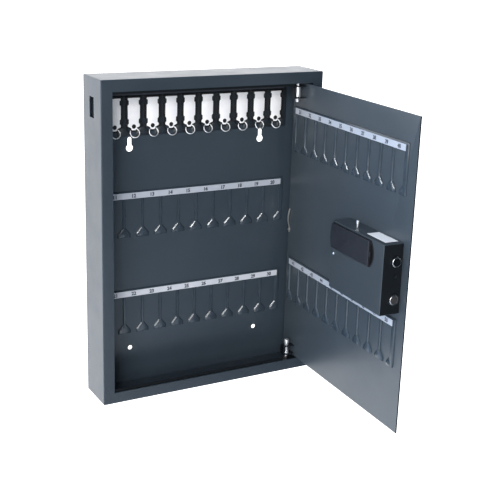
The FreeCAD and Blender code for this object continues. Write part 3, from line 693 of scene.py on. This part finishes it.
# Share of the inset that the shoulders, the neck and the tip of the outline take.
SHOULDER_SHARE = 0.6
NECK_SHARE = 0.7
TIP_SHARE = 0.3

EYELET_DROP = 50.1 * MM
EYELET_RADIUS = 3.7 * MM
EYELET_BORE = 0.2 * MM
EYELET_SINK = 0.75 * MM
EYELET_SIDES = 28

RING_RADIUS = 8.6 * MM
RING_WIRE = 0.85 * MM
RING_HALF_WIDTH = 0.95 * RING_WIRE
RING_HALF_DEPTH = 0.5 * RING_WIRE
RING_RISE = 1.155 * RING_WIRE
RING_TURNS = 2
RING_STEPS = 96
RING_SIDES = 8
RING_LEAN = math.radians(-20)
RING_TURN = math.radians(-10)
RING_SWAY = math.radians(7)
RING_VARIETY = 2.3
RING_FROM_HOLE = Vector((1.2, -1.6, -10.6)) * MM


def tag_outline(x, top, inset, wider):
    """The tag's rounded outline about x, drawn in all round by inset and spread by wider."""
    half = TAG_HALF + wider - inset
    waist = TAG_WAIST + wider - inset
    tip = TAG_TIP + (wider - inset) * TIP_SHARE
    side = [
        (half, inset, 1.2 * MM), (half, 5.2 * MM, MM),
        (waist, 7.0 * MM, MM), (waist, 13.2 * MM, MM),
        (half, 15.0 * MM, MM), (half, 36.6 * MM, MM),
        (waist, 38.4 * MM, MM), (waist, 44.8 * MM, MM),
        (half, 46.8 * MM, MM), (half, 51.4 * MM - inset * SHOULDER_SHARE, 0.7 * MM),
        (tip + 0.9 * MM, 54.6 * MM - inset * NECK_SHARE, 1.2 * MM),
        (tip, 59.0 * MM - inset, 2.4 * MM),
    ]
    left = [(x - reach, top - drop, radius) for reach, drop, radius in side]
    right = [(x + reach, top - drop, radius) for reach, drop, radius in reversed(side)]
    return rounded(left + right)


def tag_layers(x, top, levels):
    """A mesh through the tag's outline at each level, given as (inset, wider, y)."""
    rings = [at_depth(tag_outline(x, top, inset, wider), y) for inset, wider, y in levels]
    return lofted(rings, smooth_angle=35)


def tag_holder(x, top, back, front):
    """The rim around the paper, its wider face plate, and the floor behind the paper."""
    plate_back = front + TAG_PLATE
    return tag_layers(x, top, [
        (0, 0, back), (0, 0, plate_back),
        (0, TAG_FLARE, plate_back), (0, TAG_FLARE, front + 0.4 * MM),
        (0.4 * MM, TAG_FLARE, front), (TAG_RIM - 0.35 * MM, 0, front),
        (TAG_RIM, 0, front + 0.35 * MM), (TAG_RIM, 0, front + CARD_SINK),
    ])


def tag_card(x, top, front):
    """The paper in the rim, with a soft edge."""
    edge = TAG_RIM + CARD_GAP
    return tag_layers(x, top, [
        (edge, 0, front + CARD_SINK), (edge, 0, front + 0.3 * MM),
        (edge + CARD_EDGE, 0, front + CARD_EDGE),
    ])


def tag_eyelet(hole):
    """A raised grommet around the ring hole, dark inside; the profile is (radius, proud)."""
    profile = [
        (EYELET_BORE, 0), (EYELET_RADIUS, 0), (EYELET_RADIUS, 0.75 * MM),
        (EYELET_RADIUS - 0.5 * MM, 0.95 * MM), (EYELET_RADIUS - 0.9 * MM, 0.8 * MM),
        (EYELET_RADIUS - 1.0 * MM, 0.68 * MM), (EYELET_BORE, 0.66 * MM),
    ]
    foot = hole.y + EYELET_SINK
    profile = [(radius, foot - proud) for radius, proud in profile]
    return lofted(turned(profile, "Y", (hole.x, 0, hole.z), EYELET_SIDES), smooth_angle=35)


def tag_ring(hole, turn):
    """A split ring of two turns of flattened wire side by side, turned about the upright."""
    pose = Matrix.Rotation(turn, 3, "Z") @ Matrix.Rotation(RING_LEAN, 3, "X")
    centre = hole + RING_FROM_HOLE
    rings = []
    for i in range(RING_STEPS + 1):
        t = i / RING_STEPS
        angle = math.pi / 2 + 2 * math.pi * RING_TURNS * t
        out = Vector((math.cos(angle), 0, math.sin(angle)))
        ring = []
        for j in range(RING_SIDES):
            bend = 2 * math.pi * j / RING_SIDES
            point = out * (RING_RADIUS - RING_WIRE + math.cos(bend) * RING_HALF_WIDTH)
            point.y += math.sin(bend) * RING_HALF_DEPTH + (t - 0.5) * RING_RISE
            ring.append(pose @ point + centre)
        rings.append(ring)
    return lofted(rings, smooth_angle=60)


def ring_turn(number):
    """How far a ring is turned: each one hangs a little differently about the common turn."""
    return RING_TURN + RING_SWAY * math.sin(number * RING_VARIETY)


def make_tag(number):
    """A holder, its card, an eyelet and a split ring, all on the tag's body."""
    node = "key_tag_%02d" % number
    low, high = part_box(node)
    x = (low.x + high.x) / 2
    top = high.z
    back = high.y
    front = back - TAG_THICKNESS
    hole = Vector((x, front, top - EYELET_DROP))
    parts = [
        ("holder", tag_holder(x, top, back, front), tag_plastic, "tag_plastic", [node]),
        ("card", tag_card(x, top, front), tag_paper, "tag_paper", []),
        ("eyelet", tag_eyelet(hole), tag_plastic, "tag_plastic", []),
        ("ring", tag_ring(hole, ring_turn(number)), pin_steel, "bright_steel", []),
    ]
    for part, mesh, material, slot, replaced in parts:
        add_piece("tag_%s_%02d" % (part, number), mesh, material, "tag_%02d" % number,
                  replaced)


# ---- hinge pins -------------------------------------------------------------------------
SPRING_WIRE = 0.7 * MM
SPRING_TURNS = 3.5
SPRING_STEPS = 180
SPRING_SIDES = 12
SPRING_END_CLOSING = 0.7

SLEEVE_END_GAP = 2.3 * MM
SLEEVE_BORE = 3.05 * MM
SLEEVE_RADIUS = 5.5 * MM
SLEEVE_CHAMFER = 0.4 * MM
SLEEVE_SIDES = 36


def make_pin_spring():
    """The lower pin's spring with closed ends."""
    low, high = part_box("hinge_pin_spring")
    coil = (high.x - low.x) / 2 - SPRING_WIRE
    centre = Vector(((low.x + high.x) / 2, (low.y + high.y) / 2, low.z + SPRING_WIRE))
    height = high.z - low.z - 2 * SPRING_WIRE
    rings = []
    for i in range(SPRING_STEPS + 1):
        t = i / SPRING_STEPS
        angle = 2 * math.pi * SPRING_TURNS * t
        out = Vector((math.cos(angle), math.sin(angle), 0))
        closing = math.sin(2 * math.pi * t) / (2 * math.pi) * SPRING_END_CLOSING
        middle = centre + out * coil + Vector((0, 0, height * (t - closing)))
        ring = []
        for j in range(SPRING_SIDES):
            bend = 2 * math.pi * j / SPRING_SIDES
            offset = out * math.cos(bend) + Vector((0, 0, math.sin(bend)))
            ring.append(middle + offset * SPRING_WIRE)
        rings.append(ring)
    piece = add_piece("pin_spring", lofted(rings, smooth_angle=60), wire_steel, "door",
                      ["hinge_pin_spring"])
    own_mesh(piece)


def make_pin_sleeve():
    """The spacer sleeve on the upper pin, between the ears of its bracket."""
    low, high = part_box("hinge_bracket_upper")
    bottom = low.z + SLEEVE_END_GAP
    top = high.z - SLEEVE_END_GAP
    shoulder = SLEEVE_RADIUS - SLEEVE_CHAMFER
    profile = [
        (SLEEVE_BORE, bottom), (shoulder, bottom), (SLEEVE_RADIUS, bottom + SLEEVE_CHAMFER),
        (SLEEVE_RADIUS, top - SLEEVE_CHAMFER), (shoulder, top), (SLEEVE_BORE, top),
        (SLEEVE_BORE, bottom),
    ]
    mesh = lofted(turned(profile, "Z", (HINGE.x, HINGE.y, 0), SLEEVE_SIDES), capped=False)
    add_piece("pin_sleeve", mesh, pin_steel, "door")


# ---- lock details -----------------------------------------------------------------------
# The section of a bolt's end face from its rim: inset from the bolt's radius, and height.
BOLT_FACE_RIM = ((1.5 * MM, 0.05 * MM), (1.6 * MM, -0.08 * MM), (3.2 * MM, -0.12 * MM))
BOLT_FACE_MIDDLE = (0.1 * MM, -0.13 * MM)
BOLT_SIDES = 40

DOME_RADIUS = 2.4 * MM
DOME_RISE = 0.55
DOME_STEPS = 8
DOME_SIDES = 28


def make_bolt_faces():
    """Turned end faces inside the rims of both bolts, with painted reflections: dark on the upper
    one, lighter on the lower one.
    """
    low, high = shut_box("lock_bolts")
    radius = (high.y - low.y) / 2
    profile = [(radius - inset, height) for inset, height in BOLT_FACE_RIM] + [BOLT_FACE_MIDDLE]
    # Painted reflections: dark on the upper face, lighter on the lower one.
    faces = (("upper", high.z - radius, bolt_face_painted_shade), ("lower", low.z + radius, bolt_face_painted_light))
    for name, z, finish in faces:
        mesh = lofted(turned(profile, "X", (low.x, (low.y + high.y) / 2, z), BOLT_SIDES))
        add_piece("bolt_face_" + name, mesh, finish, "bolts", matrix=SWING)


def make_screw_dome():
    """The domed crown of the screw on the face of the lock's housing."""
    low, high = shut_box("lock_screws")
    profile = []
    for step in range(DOME_STEPS):
        angle = math.pi / 2 * step / DOME_STEPS
        profile.append((DOME_RADIUS * math.cos(angle), DOME_RADIUS * DOME_RISE * math.sin(angle)))
    centre = (high.x - DOME_RADIUS, high.y, low.z + DOME_RADIUS)
    mesh = lofted(turned(profile, "Y", centre, DOME_SIDES))
    add_piece("screw_dome", mesh, bright_steel, "door", matrix=SWING)


# ---- stage ------------------------------------------------------------------------------
FLOOR_HALF = 1.2
FLOOR_DROP = 0.5
FLOOR_MIDDLE = (-0.6, -1.9)
FLOOR_COLOUR = (0.86, 0.86, 0.86)
BACKDROP_RADIUS = 6.0
BACKDROP_EDGE_Y = 1.0
BACKDROP_GLOW = 0.95


def make_floor():
    """A pale floor in front of the wall and below the main view, which throws light back up."""
    bm = bmesh.new()
    bmesh.ops.create_grid(bm, x_segments=4, y_segments=4, size=FLOOR_HALF)
    mesh = mesh_from(bm)
    mesh.materials.append(new_material("pale_floor", FLOOR_COLOUR, 0.85)[0])
    floor = link("floor", mesh)
    floor.location = (*FLOOR_MIDDLE, CAD_BOX[0].z - FLOOR_DROP)


def make_backdrop():
    """A pale half dome in front of the wall, seen by cameras alone, so that it sheds no light."""
    bm = bmesh.new()
    bmesh.ops.create_uvsphere(bm, u_segments=48, v_segments=24, radius=BACKDROP_RADIUS)
    far = [vertex for vertex in bm.verts if vertex.co.y > BACKDROP_EDGE_Y]
    bmesh.ops.delete(bm, geom=far, context="VERTS")
    mesh = mesh_from(bm)
    material = new_material("pale_backdrop", (0.9, 0.9, 0.9), 0.9)[0]
    shader = material.node_tree.nodes["Principled BSDF"]
    shader.inputs["Emission Color"].default_value = (1, 1, 1, 1)
    shader.inputs["Emission Strength"].default_value = BACKDROP_GLOW
    mesh.materials.append(material)
    dome = link("backdrop", mesh)
    dome.visible_diffuse = False
    dome.visible_glossy = False
    dome.visible_transmission = False
    dome.visible_shadow = False


# ---- light ------------------------------------------------------------------------------
# The world's strength in front of and behind the cabinet, and between which y of the direction
# it passes from one to the other.
FRONT_LIGHT = 0.06
BACK_LIGHT = 2.1
FRONT_ENDS = -0.35
BACK_BEGINS = 0.6

# The share of it that is left overhead, and between which z of the direction it falls off.
OVERHEAD_SHARE = 0.8
OVERHEAD_BEGINS = 0.4
OVERHEAD_FULL = 0.75

FRONT_COLOUR = (0.55, 0.85, 1.25)
BACK_COLOUR = (0.985, 0.99, 1.0)

# Name, direction from the cabinet, distance, side of the square, power in watts.
SOFTBOXES = (
    ("key_softbox", (-0.60, -0.77, 0.22), 3.0, 1.9, 86),
    ("high_softbox", (-0.515, -0.725, 0.457), 2.6, 0.4, 18),
    ("side_softbox", (-0.897, 0.03, 0.44), 2.6, 0.4, 18),
)


def make_world():
    """A studio that is brightest behind the cabinet and darkest behind the camera."""
    world = bpy.data.worlds.new("studio")
    bpy.context.scene.world = world
    world.use_nodes = True
    tree = world.node_tree
    background = tree.nodes["Background"]
    place = tree.nodes.new("ShaderNodeTexCoord")
    split = tree.nodes.new("ShaderNodeSeparateXYZ")
    tree.links.new(place.outputs["Generated"], split.inputs["Vector"])
    back, up = split.outputs["Y"], split.outputs["Z"]
    level = ramp(tree, back, FRONT_ENDS, BACK_BEGINS, FRONT_LIGHT, BACK_LIGHT, smooth=True)
    overhead = ramp(tree, up, OVERHEAD_BEGINS, OVERHEAD_FULL, 1, OVERHEAD_SHARE, smooth=True)
    product = tree.nodes.new("ShaderNodeMath")
    product.operation = "MULTIPLY"
    tree.links.new(level, product.inputs[0])
    tree.links.new(overhead, product.inputs[1])
    tree.links.new(product.outputs["Value"], background.inputs["Strength"])
    colour = tint(tree, spread(tree, back, 0, 1), FRONT_COLOUR, BACK_COLOUR)
    tree.links.new(colour, background.inputs["Color"])


def make_softbox(name, direction, distance, size, power):
    """A square area light that looks at the cabinet from a direction."""
    light = bpy.data.lights.new(name, "AREA")
    light.shape = "SQUARE"
    light.size = size
    light.energy = power
    lamp = link(name, light)
    way = Vector(direction).normalized()
    lamp.location = (CAD_BOX[0] + CAD_BOX[1]) / 2 + way * distance
    lamp.rotation_mode = "QUATERNION"
    lamp.rotation_quaternion = way.to_track_quat("Z", "Y")


# ---- camera -----------------------------------------------------------------------------
# The place, direction, roll and lens that put the case's corners where the photograph has them.
CAMERA_PLACE = Vector((-0.77795, -1.57317, 0.49829))
CAMERA_LOOK = Vector((0.47114, 0.83146, -0.29445))
CAMERA_ROLL = math.radians(1.9)
CAMERA_LENS = 74.0
CAMERA_SENSOR = 36


def make_camera():
    """The camera at the photograph's viewing angle."""
    data = bpy.data.cameras.new("camera")
    data.lens = CAMERA_LENS
    data.sensor_width = CAMERA_SENSOR
    camera = link("camera", data)
    camera.location = CAMERA_PLACE
    camera.rotation_mode = "QUATERNION"
    look = CAMERA_LOOK.to_track_quat("-Z", "Y")
    camera.rotation_quaternion = look @ Quaternion((0, 0, 1), CAMERA_ROLL)
    bpy.context.scene.camera = camera


# ---- the scene --------------------------------------------------------------------------
finish_cad_nodes()
make_floor()
make_backdrop()
make_world()
for softbox in SOFTBOXES:
    make_softbox(*softbox)
make_camera()
bpy.context.scene.view_settings.view_transform = "Standard"

make_case_racks()
make_door_racks()
make_digits()
for tag_number in range(1, POCKETS + 1):
    make_tag(tag_number)
make_pin_spring()
make_pin_sleeve()
make_bolt_faces()
make_screw_dome()

# Painted shade on the faces of the door, its backing and the lock that look toward the free edge.
for edge_node in ("door_skin", "door_backing", "lock_cover"):
    darken_free_edge(edge_node)
# Painted shade on the tops of the door's label strips.
darken_top(frame["nodes"]["rack_labels_door"].data)
vary_strips()
# Painted shade on the screw at the lock's bolt side.
darken_side_screw()
for cad_node, round_mm in SOFTENED.items():
    soften(cad_node, round_mm * MM)
